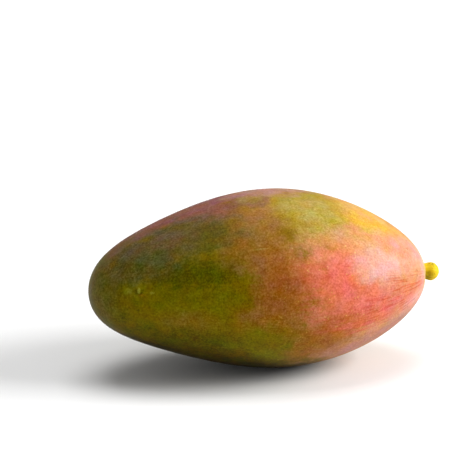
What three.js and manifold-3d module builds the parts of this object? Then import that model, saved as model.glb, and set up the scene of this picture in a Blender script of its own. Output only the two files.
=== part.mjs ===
// A ripe, elongated mango lying on one cheek, with the short green stem that stays on when it is picked.
//
// Millimetres, +Z up. +X runs along the fruit towards the stem, -Y is the ventral side, which carries the beak,
// and +Y is the fuller dorsal side. The origin is on the surface that the fruit rests on, under the middle of
// the box round fruit and stem, and the small flat spot under the fruit's weight reaches it.
import * as THREE from "three";
import { mergeVertices } from "three/addons/utils/BufferGeometryUtils.js";
import Module from "manifold-3d";

// Driving dimensions of the fruit
const LENGTH = 150; // from tip to tip, without the stem
const WIDTH = 87; // from the dorsal to the ventral side
const THICKNESS = 76.5; // from cheek to cheek, before the resting spot flattens

// How the outline leaves a plain ellipse. Each is a share of the half width or half thickness.
const BELLY_LEAN = 0.175; // the fattest place lies towards the stem
const FLANK_TAPER = 0.16; // the flanks run straighter between belly and tips
const TIP_TAPER = 0.065; // the tips are slimmer than an ellipse's
const VENTRAL_FLATTENING = 0.05; // a section is thinner on the ventral side than on the dorsal

// How far the middle line bends away from a straight axis
const BOW = 3.5; // both tips curve towards the ventral side
const STEM_SHIFT = 1.5; // the stem sits off to the dorsal side, the apex to the ventral
const SWAY = 1.5; // lying down, the half with the stem hangs a little and the apex half rides up

// Gentle swells that keep the skin from being a perfect figure: the product of two waves over a unit sphere
const SWELL = 0.35;
const SWELL_WAVES = [
  { across: new THREE.Vector3(3.1, 2, 0), start: 0.7 },
  { across: new THREE.Vector3(0, -1.7, 2.6), start: 0.4 },
];

// The shallow cavity round the stem
const CAVITY_DEPTH = 0.9;
const CAVITY_RADIUS = 7;

// The beak, a small raised point low on the ventral side near the apex, and the dip beside it
const BEAK_STATION = -0.76; // along the fruit, from -1 at the apex to 1 at the stem
const BEAK_LIFT = 0.29; // above the fruit's middle plane, as a share of the section
const BEAK_HEIGHT = 0.9;
const BEAK_RADIUS = 2.6;
const SINUS_STATION = -0.65;
const SINUS_DEPTH = 0.7;
const SINUS_RADIUS = 8;

// The flat spot under the lower cheek
const FLAT_DEPTH = 0.6; // how much of the curved cheek is pressed flat

// The stem
const STEM_RADIUS = 3.75; // of the stub, and of its socket
const STEM_KNOB = { height: 3.9, width: 2.2, swell: 0.5 }; // how it swells above the skin, a bell curve
const STEM_PROUD = 7.8; // how far the rounded end stands out of the cavity
const STEM_ROOT = 3; // how deep it is seated in the fruit
const STEM_GAP = 0.3; // clearance between the stem and its socket
const STEM_LEAN = THREE.MathUtils.degToRad(-3); // above level, so the stem droops a little
const ROOT_EDGE = 0.6; // how deep the softened edge of its root is
const SNAPPED_EDGE = 3.9; // how deep the rounding of its free end is
const STEM_OVAL = 0.05; // the end is this share wider one way than round, and narrower the other
const STEM_RIBS = { count: 5, height: 0.03 }; // faint ribs, as a share of the radius

// Fineness of the surfaces
const FRUIT_SECTORS = 96;
const FRUIT_RINGS = 56;
const STEM_SECTORS = 24;
const STEM_RINGS = 15;

const GREEN_AND_RED_SKIN = new THREE.MeshStandardMaterial({ color: 0xa8662e, roughness: 0.42, metalness: 0 });
const YELLOW_GREEN_BARK = new THREE.MeshStandardMaterial({ color: 0xa89a1c, roughness: 0.7, metalness: 0 });

const wasm = await Module();
wasm.setup();

/** A closed geometry as a solid that can be cut and joined. */
function solidOf(geometry) {
  const bare = new THREE.BufferGeometry();
  bare.setAttribute("position", geometry.getAttribute("position"));
  bare.setIndex(geometry.index);
  const merged = mergeVertices(bare, 1e-4);
  return new wasm.Manifold(
    new wasm.Mesh({
      numProp: 3,
      vertProperties: merged.attributes.position.array,
      triVerts: new Uint32Array(merged.index.array),
    }),
  );
}

/** A solid back as a geometry with smooth normals. */
function geometryOf(solid) {
  const { vertProperties, triVerts } = solid.getMesh();
  const geometry = new THREE.BufferGeometry();
  geometry.setAttribute("position", new THREE.BufferAttribute(vertProperties, 3));
  geometry.setIndex(new THREE.BufferAttribute(triVerts, 1));
  geometry.computeVertexNormals();
  return geometry;
}

/** How full a section is at a station, against an ellipse of the same length, which has 1 everywhere. */
function fullness(station) {
  const inwards = 1 - station ** 2; // 0 at both tips, 1 in the middle
  return 1 + BELLY_LEAN * station * inwards - FLANK_TAPER * station ** 2 * inwards - TIP_TAPER * station ** 2;
}

/** Where the middle line runs at a station: bent to the side, and swaying a little in height. */
function middleLine(station) {
  return new THREE.Vector3(
    (LENGTH / 2) * station,
    STEM_SHIFT * station - BOW * station ** 2,
    -SWAY * station * (1 - station ** 2),
  );
}

/** The smooth body of the fruit: a unit sphere's point (station, dorsal, up) carried to its place. */
function bodyPoint({ x: station, y: dorsal, z: up }) {
  const place = middleLine(station);
  place.y += (WIDTH / 2) * fullness(station) * dorsal;
  place.z += (THICKNESS / 2) * fullness(station) * up * (1 + VENTRAL_FLATTENING * dorsal);
  return place;
}

/** The direction in which the skin faces, taken from the ellipsoid of the same size. */
function facing(p) {
  return new THREE.Vector3(p.x / LENGTH, p.y / WIDTH, p.z / THICKNESS).normalize();
}

/** A unit sphere's point on the ventral side, at a station and a height. */
function ventralPoint(station, up) {
  const across = Math.sqrt(1 - station ** 2);
  return new THREE.Vector3(station, -across * Math.sqrt(1 - up ** 2), across * up);
}

/** A round hump, 1 at its centre and fading within its radius. */
function hump(place, centre, radius) {
  return Math.exp(-place.distanceToSquared(centre) / radius ** 2);
}

const STEM_POLE = new THREE.Vector3(1, 0, 0);
const STEM_PLACE = bodyPoint(STEM_POLE);
const BEAK_PLACE = bodyPoint(ventralPoint(BEAK_STATION, BEAK_LIFT));
const SINUS_PLACE = bodyPoint(ventralPoint(SINUS_STATION, BEAK_LIFT));

/** The height of the gentle swells at a unit sphere's point, fading out towards both tips. */
function swellAt(p) {
  const waves = SWELL_WAVES.map(({ across, start }) => Math.sin(across.dot(p) + start));
  return SWELL * waves[0] * waves[1] * (1 - p.x ** 2);
}

/** The skin: the smooth body, raised or sunk along the way it faces. */
function skinPoint(p) {
  const place = bodyPoint(p);
  const raised =
    swellAt(p) +
    BEAK_HEIGHT * hump(place, BEAK_PLACE, BEAK_RADIUS) -
    SINUS_DEPTH * hump(place, SINUS_PLACE, SINUS_RADIUS) -
    CAVITY_DEPTH * hump(place, STEM_PLACE, CAVITY_RADIUS);
  return place.addScaledVector(facing(p), raised);
}

/** Puts an axis that runs along Y, as a lathe's does, where the stem grows: out of the tip and leaning. */
function seatOnStemAxis(object) {
  object.position.copy(STEM_PLACE);
  object.position.x -= CAVITY_DEPTH;
  object.rotation.set(0, 0, -Math.PI / 2);
  object.rotateX(STEM_LEAN);
  object.updateMatrix();
  return object;
}

/** A rounded end as a share of the full width: 0 at the very end and 1 once an edge's depth into the stem. */
function rounded(into, edge) {
  const missing = THREE.MathUtils.clamp(1 - into / edge, 0, 1);
  return Math.sqrt(1 - missing ** 2.4);
}

/** The stem's radius at a height above the cavity's floor: slim in its socket, swollen to a knob above. */
function stemRadius(height) {
  const free = THREE.MathUtils.smoothstep(height, STEM_GAP, STEM_KNOB.height);
  const swelling = STEM_KNOB.swell * Math.exp(-(((height - STEM_KNOB.height) / STEM_KNOB.width) ** 2));
  const shaft = STEM_RADIUS - STEM_GAP * (1 - free) + swelling * free;
  return shaft * rounded(height + STEM_ROOT, ROOT_EDGE) * rounded(STEM_PROUD - height, SNAPPED_EDGE);
}

/** The stem's outline, as radius and height, with its points closer together towards both ends. */
function stemOutline() {
  const outline = [];
  for (let ring = 0; ring <= STEM_RINGS; ring++) {
    const along = (1 - Math.cos((Math.PI * ring) / STEM_RINGS)) / 2;
    const height = (STEM_PROUD + STEM_ROOT) * along - STEM_ROOT;
    const tip = ring === 0 || ring === STEM_RINGS;
    outline.push(new THREE.Vector2(tip ? 0 : stemRadius(height), height));
  }
  return outline;
}

/** How much wider than round the stem is at an angle. It is round in its socket and fully out of round above. */
function outOfRound(angle, height) {
  const above = THREE.MathUtils.smoothstep(height, 0, STEM_PROUD / 2);
  return 1 + above * (STEM_OVAL * Math.cos(2 * angle) + STEM_RIBS.height * Math.cos(STEM_RIBS.count * angle));
}

/** The whole fruit in one piece, with its socket and its resting spot, and the height of that spot. */
function makeFruit() {
  const geometry = new THREE.SphereGeometry(1, FRUIT_SECTORS, FRUIT_RINGS).rotateZ(-Math.PI / 2);
  const points = geometry.getAttribute("position");
  const point = new THREE.Vector3();
  for (let i = 0; i < points.count; i++) {
    const skin = skinPoint(point.fromBufferAttribute(points, i));
    points.setXYZ(i, skin.x, skin.y, skin.z);
  }
  geometry.computeBoundingBox();
  const floor = geometry.boundingBox.min.z + FLAT_DEPTH;

  const slab = new THREE.BoxGeometry(LENGTH, WIDTH, THICKNESS).translate(0, 0, floor - THICKNESS / 2);
  const socketDepth = STEM_ROOT + STEM_GAP;
  const drill = new THREE.CylinderGeometry(STEM_RADIUS, STEM_RADIUS, 2 * socketDepth, STEM_SECTORS);
  drill.applyMatrix4(seatOnStemAxis(new THREE.Object3D()).matrix);
  const solid = solidOf(geometry).subtract(solidOf(slab)).subtract(solidOf(drill));

  const fruit = new THREE.Mesh(geometryOf(solid), GREEN_AND_RED_SKIN);
  fruit.name = "fruit";
  return { fruit, floor };
}

/** The short stem, turned about its own axis and then pressed slightly out of round. */
function makeStem() {
  const geometry = new THREE.LatheGeometry(stemOutline(), STEM_SECTORS);
  const points = geometry.getAttribute("position");
  for (let i = 0; i < points.count; i++) {
    const [across, height, up] = [points.getX(i), points.getY(i), points.getZ(i)];
    const share = outOfRound(Math.atan2(up, across), height);
    points.setXYZ(i, across * share, height, up * share);
  }
  const stem = seatOnStemAxis(new THREE.Mesh(geometry, YELLOW_GREEN_BARK));
  stem.name = "stem";
  return stem;
}

const { fruit, floor } = makeFruit();
const mango = new THREE.Group();
mango.add(fruit, makeStem());
const middle = new THREE.Box3().setFromObject(mango, true).getCenter(new THREE.Vector3());
mango.position.set(-middle.x, -middle.y, -floor);

const model = new THREE.Group();
model.add(mango);
export default model;
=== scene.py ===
# %% [markdown]
# # A ripe mango
#
# The fruit is one grown body with a short woody stem, lying on its cheek on a pale studio floor. The packed
# model fixes its size and place. This lesson dresses it: a fine skin with the dips and the beak of the real
# fruit, a stub of stem with ribs and a snapped end, and a finish for each that is painted by formulas alone.

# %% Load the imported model
import math

import bpy
import numpy as np
from mathutils import Matrix, Vector


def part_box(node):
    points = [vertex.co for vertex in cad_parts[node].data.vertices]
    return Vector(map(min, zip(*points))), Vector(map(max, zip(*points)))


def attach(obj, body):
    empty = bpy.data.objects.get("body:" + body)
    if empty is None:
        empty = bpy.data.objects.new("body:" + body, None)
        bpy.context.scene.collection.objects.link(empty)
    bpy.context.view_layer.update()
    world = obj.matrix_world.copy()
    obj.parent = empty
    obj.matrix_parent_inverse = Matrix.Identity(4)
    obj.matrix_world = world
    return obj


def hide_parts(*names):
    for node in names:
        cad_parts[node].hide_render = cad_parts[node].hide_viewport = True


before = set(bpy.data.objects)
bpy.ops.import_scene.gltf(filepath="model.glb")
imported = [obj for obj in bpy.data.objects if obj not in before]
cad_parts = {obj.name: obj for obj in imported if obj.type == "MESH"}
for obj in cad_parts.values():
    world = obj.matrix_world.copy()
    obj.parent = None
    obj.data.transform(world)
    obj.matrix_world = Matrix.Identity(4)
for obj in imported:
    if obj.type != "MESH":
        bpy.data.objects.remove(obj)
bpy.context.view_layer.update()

fruit_low, fruit_high = (np.array(corner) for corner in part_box("fruit"))
print("the packed fruit measures, in mm,", np.round((fruit_high - fruit_low) * 1000, 1))

# %% [markdown]
# ## The form of the fruit
#
# A mango is close to an ellipsoid, but its belly sits towards the stem, its flanks run straighter into slim
# tips, and its middle line bends. One could sculpt that, or subdivide a cage. A formula on a unit sphere is
# shorter, has no seams to hide, and gives the skin its own coordinates: how far along, and how far round.
# The formula is the one that the solid model uses, in metres.

# %% Sizes of the fruit
MM = 0.001
LENGTH, WIDTH, THICKNESS = 150 * MM, 87 * MM, 76.5 * MM
HALF_SIZE = np.array([LENGTH, WIDTH, THICKNESS]) / 2
BELLY_LEAN, FLANK_TAPER, TIP_TAPER = 0.175, 0.16, 0.065
VENTRAL_FLATTENING = 0.05
BOW, STEM_SHIFT, SWAY = 3.5 * MM, 1.5 * MM, 1.5 * MM
FLAT_DEPTH = 0.6 * MM


# %% Where the smooth body lies
def body_points(on_sphere):
    """Unit sphere points (station, dorsal, up) carried to the smooth body.

    Each section is an ellipse, scaled by a fullness that is 1 in the middle, larger towards the stem and
    smaller on the flanks and tips. Its middle bends sideways and sways in height along the fruit, and its
    ventral half is a little flatter than its dorsal half."""
    station, dorsal, up = np.moveaxis(on_sphere, -1, 0)
    inwards = 1 - station**2
    fullness = 1 + (BELLY_LEAN * station - FLANK_TAPER * station**2) * inwards - TIP_TAPER * station**2
    middle = [HALF_SIZE[0] * station, STEM_SHIFT * station - BOW * station**2, -SWAY * station * inwards]
    across = HALF_SIZE[1] * fullness * dorsal
    height = HALF_SIZE[2] * fullness * up * (1 + VENTRAL_FLATTENING * dorsal)
    return np.stack([middle[0], middle[1] + across, middle[2] + height], axis=-1)


def sphere_points(station, bearing):
    """Unit sphere points at stations from -1, the apex, to 1, the stem, and at bearings in radians, from 0 at
    the top of the lying fruit round by its ventral side, which faces the front, to a half turn below."""
    ring = np.sqrt(np.clip(1 - station**2, 0, None))
    return np.stack([station + 0 * bearing, -ring * np.sin(bearing), ring * np.cos(bearing)], axis=-1)


def facing(on_sphere):
    """The way the skin faces, taken from the plain ellipsoid of the same size."""
    normal = on_sphere / HALF_SIZE
    return normal / np.linalg.norm(normal, axis=-1, keepdims=True)


def hump(points, centre, radius):
    """A round hump: 1 at its centre, fading as a bell curve within its radius."""
    return np.exp(-(((points - centre) ** 2).sum(axis=-1)) / radius**2)


# %% [markdown]
# ## The relief of the skin
#
# Low swells keep the skin from being a perfect figure. The stem stands in a shallow cavity, whose rim is
# drawn into a few soft folds where the skin closes on the stem. Low on the ventral side, near the apex,
# stands the beak, the scar of the flower, with a dip beside it. They could be a bump in the material, but
# then they would vanish from the outline. So all are heights, added to the smooth body the way it faces.

# %% Sizes of the relief
SWELL = 0.35 * MM
CAVITY_DEPTH, CAVITY_RADIUS = 0.9 * MM, 7 * MM
BEAK_STATION, BEAK_LIFT, BEAK_HEIGHT, BEAK_RADIUS = -0.76, 0.29, 0.9 * MM, 2.6 * MM
SINUS_STATION, SINUS_DEPTH, SINUS_RADIUS = -0.65, 0.7 * MM, 8 * MM
FOLD_HEIGHT, FOLD_COUNT, FOLD_REACH = 0.22 * MM, 6, 7.5 * MM
LIP_HEIGHT, LIP_RADIUS, LIP_WIDTH = 0.35 * MM, 4.9 * MM, 1.1 * MM
PEBBLE_HEIGHT, PEBBLE_WAVES = 0.012 * MM, 28
SHORTEST_PEBBLE, LONGEST_PEBBLE = 4 * MM, 8 * MM


def ventral_point(station, up):
    """A unit sphere point on the ventral side, at a station and at a share of the section's height."""
    across = math.sqrt(1 - station**2)
    return np.array([station, -across * math.sqrt(1 - up**2), across * up])


STEM_PLACE = body_points(np.array([1.0, 0.0, 0.0]))
BEAK_PLACE = body_points(ventral_point(BEAK_STATION, BEAK_LIFT))
SINUS_PLACE = body_points(ventral_point(SINUS_STATION, BEAK_LIFT))


# %% The height of the skin over the smooth body
def swell_height(on_sphere):
    """The product of two long waves over the unit sphere, fading out at both tips."""
    station, dorsal, up = np.moveaxis(on_sphere, -1, 0)
    along = np.sin(3.1 * station + 2 * dorsal + 0.7)
    across = np.sin(2.6 * up - 1.7 * dorsal + 0.4)
    return SWELL * along * across * (1 - station**2)


def fold_height(on_sphere, places):
    """Soft folds that radiate from the stem. Their number and depth waver, so that no two are alike."""
    away = np.linalg.norm(places - STEM_PLACE, axis=-1)
    bearing = np.arctan2(-on_sphere[..., 1], on_sphere[..., 2])
    wavering = 0.9 * np.sin(2 * bearing + 0.5)
    depth = 0.65 + 0.35 * np.sin(bearing + 1)
    wave = np.cos(FOLD_COUNT * bearing + wavering) * depth
    starts = 1 - np.exp(-((away / (0.5 * FOLD_REACH)) ** 2))
    return FOLD_HEIGHT * wave * starts * np.exp(-((away / FOLD_REACH) ** 2))


def lip_height(places):
    """A low ring of skin that closes on the stem, as a bell curve of the distance from the stem."""
    away = np.linalg.norm(places - STEM_PLACE, axis=-1)
    return LIP_HEIGHT * np.exp(-(((away - LIP_RADIUS) / LIP_WIDTH) ** 2))


def pebble_height(places):
    """Fine unevenness: a sum of short waves, of drawn lengths and in drawn directions, from a fixed seed."""
    draw = np.random.default_rng(11)
    ways = draw.normal(size=(PEBBLE_WAVES, 3))
    lengths = draw.uniform(SHORTEST_PEBBLE, LONGEST_PEBBLE, PEBBLE_WAVES)
    ways *= (2 * np.pi / lengths / np.linalg.norm(ways, axis=1))[:, None]
    waves = np.sin(places @ ways.T + draw.uniform(0, 2 * np.pi, PEBBLE_WAVES))
    return PEBBLE_HEIGHT * waves.sum(axis=-1) / math.sqrt(PEBBLE_WAVES / 2)


def skin_points(on_sphere):
    """The skin: the smooth body, raised or sunk along the way it faces, and pressed flat where it rests."""
    places = body_points(on_sphere)
    raised = (
        swell_height(on_sphere)
        + BEAK_HEIGHT * hump(places, BEAK_PLACE, BEAK_RADIUS)
        - SINUS_DEPTH * hump(places, SINUS_PLACE, SINUS_RADIUS)
        - CAVITY_DEPTH * hump(places, STEM_PLACE, CAVITY_RADIUS)
        + fold_height(on_sphere, places)
        + lip_height(places)
        + pebble_height(places)
    )
    skin = places + facing(on_sphere) * raised[..., None]
    floor = skin[..., 2].min() + FLAT_DEPTH
    skin[..., 2] = np.maximum(skin[..., 2], floor)
    return skin


# %% [markdown]
# ## A closed mesh from rings
#
# Both pieces are rings of points threaded along an axis, with a single point at each end. Squares join the
# rings, and a fan of triangles closes each end, so that there is no open seam. Each corner of a face gets its
# own place on a flat map, which lets the map break along one line while the mesh stays whole.

# %% Rings to mesh
def close_rings(name, rings):
    """One closed mesh through rings of points, shape (rings, around, 3). The first and the last ring are a
    single point each. Rings run along the axis and turn clockwise seen from the first end."""
    count, around = rings.shape[:2]
    points = np.concatenate([rings[0, :1], rings[1:-1].reshape(-1, 3), rings[-1, :1]])
    here = np.arange(around)
    beyond = (here + 1) % around
    starts = 1 + around * np.arange(count - 3)[:, None]
    squares = [starts + here, starts + beyond, starts + around + beyond, starts + around + here]
    squares = np.stack(squares, axis=-1).reshape(-1, 4)
    last, tip = len(points) - 1, len(points) - 1 - around
    first_fan = np.stack([np.zeros(around, int), 1 + beyond, 1 + here], axis=-1)
    last_fan = np.stack([tip + here, tip + beyond, np.full(around, last)], axis=-1)
    mesh = bpy.data.meshes.new(name)
    mesh.from_pydata(points, [], squares.tolist() + first_fan.tolist() + last_fan.tolist())
    mesh.shade_smooth()
    map_corners(mesh, count, around)
    piece = bpy.data.objects.new(name, mesh)
    bpy.context.scene.collection.objects.link(piece)
    return piece


def map_corners(mesh, count, around):
    """Unrolls the faces of close_rings: how far round goes across the map, and how far along goes up it."""
    step = 1 / (count - 1)
    left = np.arange(around) / around
    right = left + 1 / around
    middle = (left + right) / 2
    low = (np.arange(count - 3)[:, None] + 1) / (count - 1)
    high = low + step

    def spots(*corners):
        """The corners of a row or a grid of faces, each an (across, up) pair, as one list of spots."""
        pairs = [np.stack(np.broadcast_arrays(*corner), axis=-1) for corner in corners]
        return np.stack(pairs, axis=-2).reshape(-1, 2)

    squares = spots((left, low), (right, low), (right, high), (left, high))
    first_fan = spots((middle, 0), (right, step), (left, step))
    last_fan = spots((left, 1 - step), (right, 1 - step), (middle, 1))
    flat = np.concatenate([squares, first_fan, last_fan])
    mesh.uv_layers.new(name="OFBake").data.foreach_set("uv", flat.ravel())


def enclosed_litres(piece):
    """The volume inside a closed mesh, positive when its faces point outwards: a sum over its triangles."""
    piece.data.calc_loop_triangles()
    corners = np.empty(len(piece.data.loop_triangles) * 3, int)
    piece.data.loop_triangles.foreach_get("vertices", corners)
    points = np.empty(len(piece.data.vertices) * 3)
    piece.data.vertices.foreach_get("co", points)
    a, b, c = points.reshape(-1, 3)[corners].reshape(-1, 3, 3).transpose(1, 0, 2)
    return (a * np.cross(b, c)).sum() / 6 * 1000


# %% [markdown]
# ## The fruit
#
# The skin could be the solid model's own faces, smoothed. A finer grid, with points less than a millimetre
# apart, brings out the folds and the beak. The skin's own coordinates go into the mesh with it, because the
# colours of a mango follow its meridians: they run together at the stem.

# %% The fruit's skin
FRUIT_RINGS, FRUIT_SECTORS = 301, 318

stations = -np.cos(np.linspace(0, np.pi, FRUIT_RINGS))[:, None]
bearings = np.linspace(0, 2 * np.pi, FRUIT_SECTORS, endpoint=False)[None, :]
on_sphere = sphere_points(stations, bearings)
skin = skin_points(on_sphere)
to_frame = fruit_low - skin.reshape(-1, 3).min(axis=0)
fruit = close_rings("mango_skin", skin + to_frame)
print("the skin encloses", round(enclosed_litres(fruit), 4), "litres, in", len(fruit.data.polygons), "faces")


def keep_on_sphere(piece, grid):
    """Stores the unit sphere points of a ring grid in its mesh, as the attribute that the finish reads."""
    points = np.concatenate([grid[0, :1], grid[1:-1].reshape(-1, 3), grid[-1, :1]])
    attribute = piece.data.attributes.new("on_sphere", "FLOAT_VECTOR", "POINT")
    attribute.data.foreach_set("vector", points.ravel())


keep_on_sphere(fruit, on_sphere)
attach(fruit, "root")
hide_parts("fruit")

# %% [markdown]
# ## The stem
#
# A stub of the fruit stalk stays on when a mango is picked. It is woody, with five low knuckles where the
# sepals stood, faint ribs, and a rounded end where it snapped. A lathe would make it too regular, so its
# radius is a profile along the axis times small waves round it. Its root goes down into the fruit.

# %% Sizes of the stem
STEM_RADIUS, STEM_PROUD, STEM_ROOT, STEM_GAP = 3.75 * MM, 7.8 * MM, 3 * MM, 0.3 * MM
KNOB_HEIGHT, KNOB_WIDTH, KNOB_SWELL = 3.9 * MM, 2.2 * MM, 0.5 * MM
ROOT_EDGE, SNAPPED_EDGE = 0.6 * MM, 3.9 * MM
STEM_LEAN = math.radians(-3)
OVAL, RIBS, KNUCKLES = 0.05, 0.03, 0.03
SEPALS = 5
BARK_HEIGHT, BARK_WAVES = 0.07 * MM, 26
STEM_RINGS, STEM_SECTORS = 97, 120


def smooth(value, low, high):
    """0 below `low`, 1 above `high`, and a slope without corners between: three squares less two cubes."""
    share = np.clip((value - low) / (high - low), 0, 1)
    return share**2 * (3 - 2 * share)


def rounded(into, edge):
    """A rounded end as a share of full width: 0 at the very end, 1 once `edge` deep, along a quarter oval."""
    missing = np.clip(1 - into / edge, 0, 1)
    return np.sqrt(1 - missing**2.4)


def stem_radius(height, bearing):
    """The radius at a height above the cavity and at a bearing.

    It is slim in its socket, and swells to a knob as a bell curve of the height. Two rounded ends close it.
    Above the skin it is pressed oval. Its ribs, and the knuckles round the knob, are waves of the bearing."""
    free = smooth(height, STEM_GAP, KNOB_HEIGHT)
    knob = np.exp(-(((height - KNOB_HEIGHT) / KNOB_WIDTH) ** 2))
    shaft = STEM_RADIUS - STEM_GAP * (1 - free) + KNOB_SWELL * knob * free
    above = smooth(height, 0, STEM_PROUD / 2)
    waves = RIBS * np.sin(SEPALS * bearing) - OVAL * np.cos(2 * bearing)
    knuckles = KNUCKLES * knob * np.cos(SEPALS * bearing + 0.8 + 0.3 * np.sin(bearing))
    ends = rounded(height + STEM_ROOT, ROOT_EDGE) * rounded(STEM_PROUD - height, SNAPPED_EDGE)
    return shaft * (1 + above * (waves + knuckles)) * ends


def bark_height(height, bearing):
    """Lengthwise bark ridges and small warts above the skin: seeded waves, many round and few along."""
    draw = np.random.default_rng(5)
    raised = 0 * (height + bearing)
    for _ in range(BARK_WAVES):
        round_it, along_it = draw.integers(3, 22), draw.normal(0, 0.9 / MM)
        raised = raised + np.sin(round_it * bearing + along_it * height + draw.uniform(0, 2 * np.pi))
    return BARK_HEIGHT * raised / math.sqrt(BARK_WAVES / 2) * np.clip(height / MM, 0, 1)


def stem_points():
    """Rings of the stem from its root to the snapped end, each point set off from the leaning axis."""
    half_turn = np.linspace(0, np.pi, STEM_RINGS)
    height = (-STEM_ROOT + (STEM_PROUD + STEM_ROOT) * (1 - np.cos(half_turn)) / 2)[:, None]
    bearing = np.linspace(0, 2 * np.pi, STEM_SECTORS, endpoint=False)[None, :]
    radius = stem_radius(height, bearing)
    radius = radius + bark_height(height, bearing) * np.minimum(radius / STEM_RADIUS, 1)
    axis = np.array([math.cos(STEM_LEAN), 0, math.sin(STEM_LEAN)])
    upwards = np.array([-math.sin(STEM_LEAN), 0, math.cos(STEM_LEAN)])
    sideways = np.array([0, -1, 0])
    outwards = upwards * np.cos(bearing)[..., None] + sideways * np.sin(bearing)[..., None]
    seat = STEM_PLACE - np.array([CAVITY_DEPTH, 0, 0]) + to_frame
    return seat + axis * height[..., None] + radius[..., None] * outwards


# %% The stem
stem = close_rings("mango_stem", stem_points())
print("the stem encloses", round(enclosed_litres(stem) * 1e6, 1), "cubic millimetres")
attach(stem, "root")
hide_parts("stem")

# %% [markdown]
# ## Writing a finish as formulas
#
# A material is a net of nodes. Wired by hand it is hard to read, so a small class wraps a socket and lets the
# net be written as sums: `1 - mask` adds the Math node that works it out. Numbers go through Math nodes.
# Colours go through Mix or Vector Math nodes, because a Math node would turn them grey.

# %% Sockets as values
class Wire:
    """What a socket carries, as a value in an expression."""

    def __init__(self, socket):
        self.socket = socket

    def node(self, kind, settings=None, inputs=None, output=0):
        """A new node of the same material: its settings first, then a value or a wire for each input socket,
        by name or number. Gives the wire of one output."""
        tree = self.socket.id_data
        made = tree.nodes.new(kind)
        for name, value in (settings or {}).items():
            setattr(made, name, value)
        for name, value in (inputs or {}).items():
            if isinstance(value, Wire):
                tree.links.new(value.socket, made.inputs[name])
            else:
                made.inputs[name].default_value = value
        return Wire(made.outputs[output])

    def math(self, operation, *values):
        """A Math node on this number and any others."""
        return self.node("ShaderNodeMath", {"operation": operation}, dict(enumerate((self, *values))))

    def vector(self, operation, *values):
        """A Vector Math node on this vector or colour and any others."""
        return self.node("ShaderNodeVectorMath", {"operation": operation}, dict(enumerate((self, *values))))

    def __add__(self, other):
        return self.math("ADD", other)

    def __sub__(self, other):
        return self.math("SUBTRACT", other)

    def __rsub__(self, other):
        return self.math("MULTIPLY_ADD", -1.0, other)

    def __mul__(self, other):
        return self.math("MULTIPLY", other)

    def __truediv__(self, other):
        return self.math("DIVIDE", other)

    def split(self):
        """The three components of a vector or a colour."""
        parts = self.node("ShaderNodeSeparateXYZ", None, {0: self}).socket.node
        return [Wire(output) for output in parts.outputs]

    def rise(self, low, high):
        """0 below `low`, 1 above `high` and a smooth slope between them. Where `low` is larger, it falls."""
        limits = {"Value": self, "From Min": min(low, high), "From Max": max(low, high)}
        ends = {"To Min": float(low > high), "To Max": float(low <= high)}
        return self.node("ShaderNodeMapRange", {"interpolation_type": "SMOOTHSTEP"}, {**limits, **ends})

    def ground(self, colour):
        """One plain colour in the same material, to paint over."""
        return self.node("ShaderNodeMix", {"data_type": "RGBA"}, {0: 0.0, 6: (*colour, 1)}, output=2)

    def paint(self, colour, share):
        """This colour with another laid over it. The share, from 0 to 1, says how much of it covers."""
        settings = {"data_type": "RGBA", "clamp_factor": True}
        return self.node("ShaderNodeMix", settings, {0: share, 6: self, 7: (*colour, 1)}, output=2)

    def noise(self, size, detail=2, roughness=0.5, output=0):
        """Soft noise from 0 to 1 over this place or vector, with blobs about `size` across."""
        inputs = {"Vector": self, "Scale": 1 / size, "Detail": detail, "Roughness": roughness}
        return self.node("ShaderNodeTexNoise", None, inputs, output)

    def cells(self, size):
        """Cells about `size` across over this place: how far it is to the nearest cell's point, in sizes."""
        return self.node("ShaderNodeTexVoronoi", {"feature": "F1"}, {"Vector": self, "Scale": 1 / size})


def linear(red, green, blue):
    """A colour given as it looks on a screen, from 0 to 255, as the light that a shader works with."""
    shares = np.array([red, green, blue]) / 255
    light = np.where(shares <= 0.04045, shares / 12.92, ((shares + 0.055) / 1.055) ** 2.4)
    return tuple(float(part) for part in light)


def new_material(piece, name):
    """A material on the piece: its principled shader, and the wire of the place in the piece."""
    material = bpy.data.materials.new(name)
    material.use_nodes = True
    piece.data.materials.clear()
    piece.data.materials.append(material)
    shader = material.node_tree.nodes["Principled BSDF"]
    place = Wire(material.node_tree.nodes.new("ShaderNodeTexCoord").outputs["Object"])
    return shader, place


def connect(wire, socket):
    """Leads a wire into a socket of a shader."""
    socket.id_data.links.new(wire.socket, socket)


# %% [markdown]
# ## The finish of the skin
#
# A ripe mango of this kind is olive green where it hung in the shade and yellow to gold on the shoulder. A
# blush lies over that: dull mauve where the skin below is green, coral red where it is yellow. A painted map
# could be wrapped round it, but its specks would blur close up. Here the pigments are laid on like thin
# paint, in soft patches placed by the skin's own coordinates. Noise bends these, so that every border is
# cloudy. Some patches are painted light: the underside, the lower flank and the low side of the apex are
# darkened as painted shade, the lower rim by the stem and the top edge near it are partly painted shade, and
# the pale rose cheek is partly a painted highlight.

# %% The skin's own coordinates in the material
skin_shader, place = new_material(fruit, "mango_skin")
on_skin = place.node("ShaderNodeAttribute", {"attribute_name": "on_sphere"}, output="Vector")
station, dorsal, up = on_skin.split()
bearing = dorsal.math("MULTIPLY", -1).math("ARCTAN2", up) * math.degrees(1)

CLOUD_SIZE, CLOUD_ALONG, CLOUD_AROUND = 15 * MM, 0.16, 24
clouds = place.noise(CLOUD_SIZE, detail=6, roughness=0.65, output="Color").split()
station_bent = station + (clouds[0] - 0.5) * CLOUD_ALONG
bearing_bent = bearing + (clouds[1] - 0.5) * CLOUD_AROUND
print("a cloud moves a border by up to about", round(CLOUD_ALONG / 4 * LENGTH / 2 / MM), "mm")

# %% Mottling and streaks
BLOTCH_SIZE, SPECKLE_SIZE, GRAIN_SIZE, TINGE_SIZE = 6 * MM, 5 * MM, 0.85 * MM, 6 * MM
STREAKS_ROUND, STREAKS_ALONG = 17, 4.5

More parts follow.
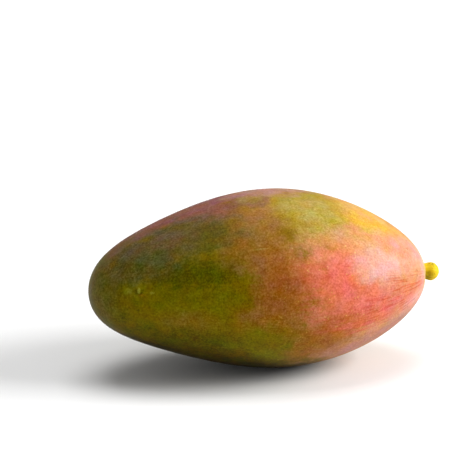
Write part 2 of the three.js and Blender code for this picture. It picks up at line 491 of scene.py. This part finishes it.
blotches = place.noise(BLOTCH_SIZE, detail=2, roughness=0.5) - 0.5
speckle = place.noise(SPECKLE_SIZE, detail=4, roughness=0.9) - 0.5
grain = place.noise(GRAIN_SIZE, detail=1, roughness=0.7) - 0.5
tinge_noise = place.noise(TINGE_SIZE, detail=1, roughness=0.5, output="Color")
tinges = [part - 0.5 for part in tinge_noise.split()]
round_it = on_skin.vector("MULTIPLY", (0, 1, 1)).vector("NORMALIZE")
meridians = round_it.vector("MULTIPLY", (STREAKS_ROUND,) * 3).vector(
    "ADD", on_skin.vector("MULTIPLY", (STREAKS_ALONG, 0, 0)))
streaks = meridians.noise(1, detail=4, roughness=0.65) - 0.5
fine_streaks = meridians.noise(0.45, detail=1, roughness=0.5) - 0.5


# %% A patch of pigment
def patch(middle, reach, fade=0.45, ragged=1.0, streaky=0.3, at=(station_bent, bearing_bent)):
    """A soft oval on the skin, 1 inside and 0 outside.

    Its middle is a station and a bearing in degrees, and its reach is half its size in both. `at` holds the
    coordinates that it is drawn in, which are the cloudy ones unless others are given. The distance from the
    middle is counted in reaches. The patch fades out between 1 - fade and 1 + fade of them, after blotches
    and streaks have pushed that edge about, as far as `ragged` and `streaky` say."""
    along = (at[0] - middle[0]) / reach[0]
    around = (at[1] - middle[1]).math("WRAP", 180.0, -180.0) / reach[1]
    distance = (along * along + around * around).math("SQRT")
    edge = blotches * ragged + streaks * streaky
    return (distance + edge).rise(1 + fade, 1 - fade)


# %% Pigments
# The deep olive is painted shade. The dusky olive is painted shade below and the fruit's own colour on the
# upper flank.
OLIVE, PAINTED_SHADE_OLIVE, DUSKY_OLIVE = linear(106, 93, 6), linear(42, 32, 0), linear(76, 66, 10)
GREEN_OLIVE, GREY_GREEN, BLUE_GREEN = linear(76, 73, 5), linear(80, 67, 56), linear(76, 71, 50)
DULL_OLIVE, YELLOW_OLIVE = linear(92, 82, 50), linear(108, 96, 6)
YELLOW_GREEN, LIME = linear(146, 124, 46), linear(160, 140, 94)
GOLD, AMBER, PEACH = linear(192, 148, 96), linear(198, 146, 46), linear(188, 132, 108)
MAUVE, DULL_MAUVE, PALE_MAUVE = linear(130, 80, 86), linear(114, 84, 74), linear(164, 118, 122)
CORAL, RED, ORANGE = linear(200, 92, 92), linear(198, 98, 98), linear(162, 84, 52)
ROSE, DUSTY_ROSE = linear(196, 142, 148), linear(192, 132, 130)
ORANGE_BROWN, BROWN = linear(130, 86, 52), linear(142, 87, 52)
RED_BROWN, PINK_BROWN = linear(138, 74, 46), linear(172, 118, 118)

# name: pigment, middle (station, bearing), reach (stations, degrees), cover, and any special edge
PATCHES = {
    # painted shade: the whole underside darkened, where little light reaches it
    "painted shade under the fruit": (PAINTED_SHADE_OLIVE, (-0.4, 180), (0.8, 50), 0.95, {"ragged": 0.4, "fade": 0.3}),
    # painted shade: the lower flank towards the apex darkened
    "painted shade of the lower flank": (DUSKY_OLIVE, (-0.45, 125), (0.45, 16), 0.8, {"fade": 0.6}),
    "green olive band": (GREEN_OLIVE, (-0.45, 62), (0.3, 10), 0.9, {"streaky": 1}),
    "warm stem half": (PEACH, (0.95, 60), (0.8, 150), 1, {"fade": 0.25}),
    "green shoulder": (YELLOW_GREEN, (0.22, 16), (0.34, 24), 1, {"fade": 0.4}),
    "lime shoulder": (LIME, (0.28, 20), (0.16, 14), 0.7, {"fade": 0.6}),
    "green back": (YELLOW_GREEN, (0.5, -70), (0.7, 60), 0.9, {"fade": 0.6}),
    "golden back": (GOLD, (0.85, -90), (0.3, 55), 0.5, {"fade": 0.6}),
    "peach shoulder": (PEACH, (0.4, 43), (0.14, 8), 0.5, {"fade": 0.6}),
    "golden shoulder": (GOLD, (0.7, 10), (0.25, 24), 0.95, {"fade": 0.5}),
    "amber core": (AMBER, (0.66, 25), (0.17, 7), 0.7, {"fade": 0.7}),
    "dusty rose shoulder": (DUSTY_ROSE, (0.85, 45), (0.18, 25), 0.8, {"fade": 0.5}),
    "brown border above": (ORANGE_BROWN, (-0.1, 42), (0.2, 22), 0.9, {"fade": 0.5}),
    "tan of the crown": (BROWN, (-0.08, 18), (0.12, 12), 0.5, {"fade": 0.5}),
    "pink tint above": (PINK_BROWN, (0, 18), (0.1, 20), 0.12, {"fade": 0.7}),
    "brown border": (BROWN, (0.03, 75), (0.17, 25), 0.95, {"fade": 0.5, "streaky": 0.7}),
    "brown flank": (BROWN, (-0.06, 100), (0.18, 12), 0.7, {"fade": 0.6, "streaky": 1}),
    "brown bay below": (BROWN, (0.2, 118), (0.2, 18), 0.9, {"fade": 0.5}),
    "coral cheek": (CORAL, (0.35, 74), (0.22, 22), 0.9, {"fade": 0.65, "streaky": 0.9}),
    "red cheek": (RED, (0.62, 92), (0.35, 16), 0.7, {"fade": 0.6, "streaky": 1.2}),
    "orange cheek below": (ORANGE, (0.4, 105), (0.2, 10), 0.85, {"fade": 0.5, "streaky": 1.5}),
    "red tongue": (RED_BROWN, (0, 80), (0.14, 14), 0.7, {"fade": 0.6}),
    "red streaks": (RED, (0.68, 100), (0.3, 13), 0.8, {"streaky": 3}),
    # partly the cheek's own pale rose, partly a painted highlight of the main soft box
    "pale rose cheek and painted highlight": (ROSE, (0.62, 64), (0.16, 13), 1, {"fade": 0.6}),
    "mauve tint": (PALE_MAUVE, (0.78, 95), (0.14, 24), 0.35, {"fade": 0.7}),
    "brown blush below": (PINK_BROWN, (0.6, 134), (0.33, 12), 0.9, {}),
    "rose rim below": (ROSE, (0.9, 114), (0.12, 16), 0.8, {"fade": 0.5}),
    # partly mauve skin, partly painted shade along the lower rim by the stem
    "mauve rim below and painted shade": (MAUVE, (0.92, 138), (0.25, 20), 0.5, {"fade": 0.6}),
    # partly painted shade: a deeper orange along the top edge by the stem
    "orange rim above and painted shade": (ORANGE, (0.86, 2), (0.16, 12), 0.35, {"fade": 0.6}),
    "rosy stem end": (ROSE, (1, 90), (0.1, 400), 0.6, {"streaky": 2}),
    "olive bay below": (YELLOW_OLIVE, (-0.05, 118), (0.18, 14), 0.9, {"fade": 0.6}),
    "mauve crown": (MAUVE, (-0.42, -12), (0.45, 24), 1, {"fade": 0.3, "ragged": 0.8}),
    "mauve lobe": (MAUVE, (-0.28, 13), (0.13, 12), 0.8, {"fade": 0.5}),
    "dull mauve end": (DULL_MAUVE, (-0.85, 0), (0.12, 25), 0.9, {}),
    "pale mauve crest": (PALE_MAUVE, (0.07, -9), (0.22, 13), 0.9, {}),
    "mauve spot": (MAUVE, (-0.01, 10), (0.08, 6), 0.7, {}),
    "yellow island": (YELLOW_GREEN, (-0.06, 5), (0.07, 5), 0.4, {}),
    "grey green flank": (GREY_GREEN, (-0.6, 28), (0.32, 19), 0.9, {"fade": 0.6}),
    "mauve haze": (MAUVE, (-0.58, 27), (0.16, 8), 0.25, {"fade": 0.8}),
    "blue green flank": (BLUE_GREEN, (-0.74, 47), (0.22, 16), 0.8, {"fade": 0.8}),
    "dark flank": (DUSKY_OLIVE, (-0.34, 36), (0.13, 10), 0.6, {"fade": 0.6}),
    "brown tint": (ORANGE_BROWN, (-0.5, 102), (0.12, 8), 0.4, {"fade": 0.7, "streaky": 1}),
    # painted shade: the low side of the apex darkened
    "painted shade below the apex": (DUSKY_OLIVE, (-0.9, 112), (0.15, 30), 0.5, {"fade": 0.7}),
    # painted shade: the middle of the underside darkened
    "painted shade of the middle below": (PAINTED_SHADE_OLIVE, (0.1, 158), (0.3, 16), 0.6, {"fade": 0.6}),
    "dull apex": (DULL_OLIVE, (-1, 0), (0.13, 400), 0.75, {"fade": 0.6}),
}


# %% The skin's colour
skin_colour = place.ground(OLIVE)
for pigment, middle, reach, cover, edge in PATCHES.values():
    skin_colour = skin_colour.paint(pigment, patch(middle, reach, **edge) * cover)
print(len(PATCHES), "patches of pigment")

# %% [markdown]
# ## Marks and lenticels
#
# A few small marks belong to one place: the scar of the flower on the beak, with pale spots before and behind
# it, and a hairline scratch. Thin red lines run along the lower cheek to the stem, where the fine streaks
# peak. All are placed as patches are, but the clouds don't bend them. Lenticels are the pores of the skin.
# They could be small discs set on the mesh, but there are thousands. Here the cells of a Voronoi pattern give
# one dot each, and soft noise keeps some of them. They are pale and small on the cheek, and corky and dark
# near the stem. Where the skin meets the stem, it turns cream.

# %% Marks
RED_LINE = linear(175, 45, 45)
PALE_SCAR, DARK_SCAR, CREAM = linear(150, 145, 70), linear(60, 50, 0), linear(195, 170, 90)

# pigment, middle, reach, cover
MARKS = [
    (PALE_SCAR, (-0.815, 73), (0.02, 4), 0.35),
    (DARK_SCAR, (-0.755, 74), (0.02, 4), 0.5),
    (PALE_SCAR, (-0.755, 73), (0.007, 3), 0.5),
    (RED_BROWN, (-0.745, 78), (0.015, 1.5), 0.25),
    (PALE_SCAR, (-0.695, 76), (0.015, 1.5), 0.35),
    (LIME, (-0.085, 50), (0.045, 0.6), 0.35),
]
lower_cheek = patch((0.8, 98), (0.32, 28), fade=0.5, at=(station, bearing))
skin_colour = skin_colour.paint(RED_LINE, lower_cheek * fine_streaks.rise(0.03, 0.13) * 0.5)
for pigment, middle, reach, cover in MARKS:
    skin_colour = skin_colour.paint(pigment, patch(middle, reach, at=(station, bearing)) * cover)
print(len(MARKS), "marks")

# %% Lenticels
PALE_LENTICEL, DARK_LENTICEL = linear(205, 170, 100), linear(110, 50, 40)
PALE_SPACING, PALE_CLUSTER = 2 * MM, 7 * MM
CORKY_SPACING, CORKY_CLUSTER = 2.6 * MM, 4 * MM

lenticels = place.cells(PALE_SPACING).rise(0.20, 0.10)
kept = place.noise(PALE_CLUSTER, detail=1).rise(0.40, 0.56)
corky = place.cells(CORKY_SPACING).rise(0.28, 0.16) * place.noise(CORKY_CLUSTER).rise(0.42, 0.54)
near_stem = station.rise(0.74, 0.84)
on_cheek = station.rise(-0.2, 0.3) * (1 - near_stem)
skin_colour = skin_colour.paint(PALE_LENTICEL, lenticels * kept * (on_cheek * 0.4 + 0.06))
skin_colour = skin_colour.paint(DARK_LENTICEL, corky * near_stem * 0.4)
skin_colour = skin_colour.paint(CREAM, (station + blotches * 0.04).rise(0.93, 0.98) * 0.6)
print("about", round((10 * MM / PALE_SPACING) ** 2), "cells for lenticels to a square centimetre")

# %% [markdown]
# ## Speckle and tinges
#
# The skin is full of tiny specks and soft tinges, lighter and darker than the pigment round them. They could
# multiply the colour, but then a speck on red skin would change the red alone and look painted on. To the eye
# a real speck shifts red, green and blue by the same small step. So the colour goes to the even steps of a
# screen through a Gamma node, the shifts are added there, and a second Gamma node takes it back. Near the
# stem the grain is calmer and the streaks vary more in red, and yellowish wax takes out some blue everywhere.

# %% Speckle and tinges
SCREEN_GAMMA = 2.2
SPECKLE_SHIFT, GRAIN_SHIFT, STREAK_SHIFT = 0.22, 0.24, 0.05
RED_SHIFT, BLUE_SHIFT, LESS_BLUE = 0.07, 0.2, 0.07

grain_shift = GRAIN_SHIFT - station.rise(0.5, 0.85) * 0.1
streaks_redden = station.rise(0.1, 0.8) * 0.05 + 0.02
lighter = speckle * SPECKLE_SHIFT + grain * grain_shift + streaks * STREAK_SHIFT
redder = tinges[0] * RED_SHIFT + streaks * streaks_redden
bluer = lighter + tinges[1] * BLUE_SHIFT - LESS_BLUE
shift = place.node("ShaderNodeCombineXYZ", None, {0: lighter + redder, 1: lighter - redder, 2: bluer})
on_screen = skin_colour.node("ShaderNodeGamma", None, {0: skin_colour, 1: 1 / SCREEN_GAMMA})
on_screen = on_screen.vector("ADD", shift).vector("MAXIMUM", (0, 0, 0))
skin_colour = on_screen.node("ShaderNodeGamma", None, {0: on_screen, 1: SCREEN_GAMMA})
connect(skin_colour, skin_shader.inputs["Base Color"])

# %% Gloss and grain
skin_shader.inputs["Specular IOR Level"].default_value = 0.08
skin_shader.inputs["Specular Tint"].default_value = (1.0, 0.8, 0.1, 1)
roughness = speckle * 0.25 + lenticels * 0.1 + 0.47
connect(roughness, skin_shader.inputs["Roughness"])
relief = speckle + lenticels * 0.5
bump = relief.node("ShaderNodeBump", None, {"Strength": 0.5, "Distance": 0.06 * MM, "Height": relief})
connect(bump, skin_shader.inputs["Normal"])

# %% [markdown]
# ## The finish of the stem
#
# The bark of the stub is a bright lime yellow, stained dark olive in clouds, with small corky specks. Its
# underside near the fruit is darkened to the same olive as painted shade. One colour would do at this size,
# but it would look like moulded plastic.

# %% The stem's bark
stem_shader, stem_place = new_material(stem, "mango_stem")
LIME_YELLOW, STEM_OLIVE, CORK = linear(205, 175, 8), linear(112, 100, 6), linear(110, 80, 26)
STAIN_SIZE, SPECK_SPACING, SPECK_CLUSTER = 2.4 * MM, 0.9 * MM, 2 * MM
SHADE_EDGE_WAVER, LOW_SIDE_TOP, LOW_SIDE_FULL = 6 * MM, 43 * MM, 39 * MM
FRUIT_SHADE_END, FRUIT_SHADE_FULL = 75.5 * MM, 72.5 * MM

stain = stem_place.noise(STAIN_SIZE, detail=4, roughness=0.6)
specks = stem_place.cells(SPECK_SPACING).rise(0.30, 0.18) * stem_place.noise(SPECK_CLUSTER).rise(0.5, 0.6)
along_stem, _, stem_height = stem_place.split()
# Painted shade: the low side of the stub near the fruit is darkened to olive, its edge wavering with the
# stain.
painted_shade_below = (stem_height + stain * SHADE_EDGE_WAVER).rise(LOW_SIDE_TOP, LOW_SIDE_FULL)
near_fruit = along_stem.rise(FRUIT_SHADE_END, FRUIT_SHADE_FULL)
bark = stem_place.ground(LIME_YELLOW).paint(STEM_OLIVE, stain.rise(0.52, 0.66) * 0.7)
bark = bark.paint(STEM_OLIVE, painted_shade_below * near_fruit * 0.6)
bark = bark.paint(CORK, specks * 0.8)
connect(bark, stem_shader.inputs["Base Color"])
stem_shader.inputs["Specular IOR Level"].default_value = 0.15
connect(stain * 0.3 + 0.45, stem_shader.inputs["Roughness"])
bark_grain = stain + specks * 0.5
bump = bark_grain.node("ShaderNodeBump", None, {"Strength": 0.6, "Distance": 0.15 * MM, "Height": bark_grain})
connect(bump, stem_shader.inputs["Normal"])

# %% [markdown]
# ## The studio
#
# The fruit lies on a plain pale floor. A large soft box on the right, a little in front and well above, is
# the main light, a second one overhead keeps the crown readable, and a third brightens only the floor far
# behind. The pale surroundings fill in the rest. A single lamp would do, but its shadows would be hard.

# %% Camera
# The focal length is counted in pixels of a square frame FRAME_PIXELS wide. The camera looks along a bearing
# and a height, from a distance, and stands AIM_RIGHT and AIM_UP away from the line through the origin.
FRAME_PIXELS, SENSOR = 453, 36.0
FOCAL_PIXELS = 1809.0
CAMERA_AZIMUTH, CAMERA_ELEVATION, CAMERA_DISTANCE = math.radians(-12), math.radians(15), 0.8
AIM_RIGHT, AIM_UP = -17.0 * MM, 59.8 * MM


def camera_axes(azimuth, elevation):
    """The camera's right, up and backward directions, as columns, for its bearing and height."""
    right = np.array([math.cos(azimuth), math.sin(azimuth), 0])
    level = np.array([math.sin(azimuth), -math.cos(azimuth), 0])
    back = level * math.cos(elevation) + np.array([0, 0, math.sin(elevation)])
    return np.stack([right, np.cross(back, right), back], axis=1)


axes = camera_axes(CAMERA_AZIMUTH, CAMERA_ELEVATION)
camera_place = axes @ np.array([AIM_RIGHT, AIM_UP, CAMERA_DISTANCE])
camera_data = bpy.data.cameras.new("camera")
camera_data.sensor_width = SENSOR
camera_data.lens = FOCAL_PIXELS * SENSOR / FRAME_PIXELS
camera_data.clip_start, camera_data.clip_end = 0.01, 50
camera = bpy.data.objects.new("camera", camera_data)
stand = np.eye(4)
stand[:3, :3], stand[:3, 3] = axes, camera_place
camera.matrix_world = Matrix(stand.tolist())
bpy.context.scene.collection.objects.link(camera)
bpy.context.scene.camera = camera
print("the camera stands at, in m,", np.round(camera_place, 3))
print("its lens is, in mm,", round(camera_data.lens, 1))

# %% Floor and lights
FLOOR_HALF = 4.0
FLOOR_GREY = 0.86
SURROUND_LIGHT = 0.35

floor_mesh = bpy.data.meshes.new("floor")
corners = [(-FLOOR_HALF, -FLOOR_HALF, 0), (FLOOR_HALF, -FLOOR_HALF, 0), (FLOOR_HALF, FLOOR_HALF, 0)]
floor_mesh.from_pydata([*corners, (-FLOOR_HALF, FLOOR_HALF, 0)], [], [(0, 1, 2, 3)])
floor = bpy.data.objects.new("floor", floor_mesh)
bpy.context.scene.collection.objects.link(floor)
floor_shader, _ = new_material(floor, "pale_floor")
floor_shader.inputs["Base Color"].default_value = (FLOOR_GREY, FLOOR_GREY, FLOOR_GREY, 1)
floor_shader.inputs["Roughness"].default_value = 0.9
floor_shader.inputs["Specular IOR Level"].default_value = 0.1


def soft_box(name, place, aim, size, watts, spread=180):
    """A square area light, with its size and place in metres, that faces its aim. It shines as wide as its
    spread, in degrees."""
    light = bpy.data.lights.new(name, "AREA")
    light.shape, light.size, light.energy, light.spread = "SQUARE", size, watts, math.radians(spread)
    box = bpy.data.objects.new(name, light)
    box.location = place
    box.rotation_euler = (Vector(aim) - Vector(place)).to_track_quat("-Z", "Y").to_euler()
    bpy.context.scene.collection.objects.link(box)


soft_box("main_box", place=(1.15, -0.30, 0.68), aim=(0.02, 0, 0.04), size=0.75, watts=26)
soft_box("crown_box", place=(0, 0.25, 1.5), aim=(0, 0, 0.04), size=1.0, watts=13)
soft_box("far_floor_box", place=(-0.4, 1.9, 1.3), aim=(-0.4, 1.9, 0), size=1.6, watts=14, spread=70)

world = bpy.data.worlds.new("studio")
bpy.context.scene.world = world
world.use_nodes = True
world.node_tree.nodes["Background"].inputs["Color"].default_value = (1, 1, 1, 1)
world.node_tree.nodes["Background"].inputs["Strength"].default_value = SURROUND_LIGHT
bpy.context.scene.view_settings.view_transform = "Standard"
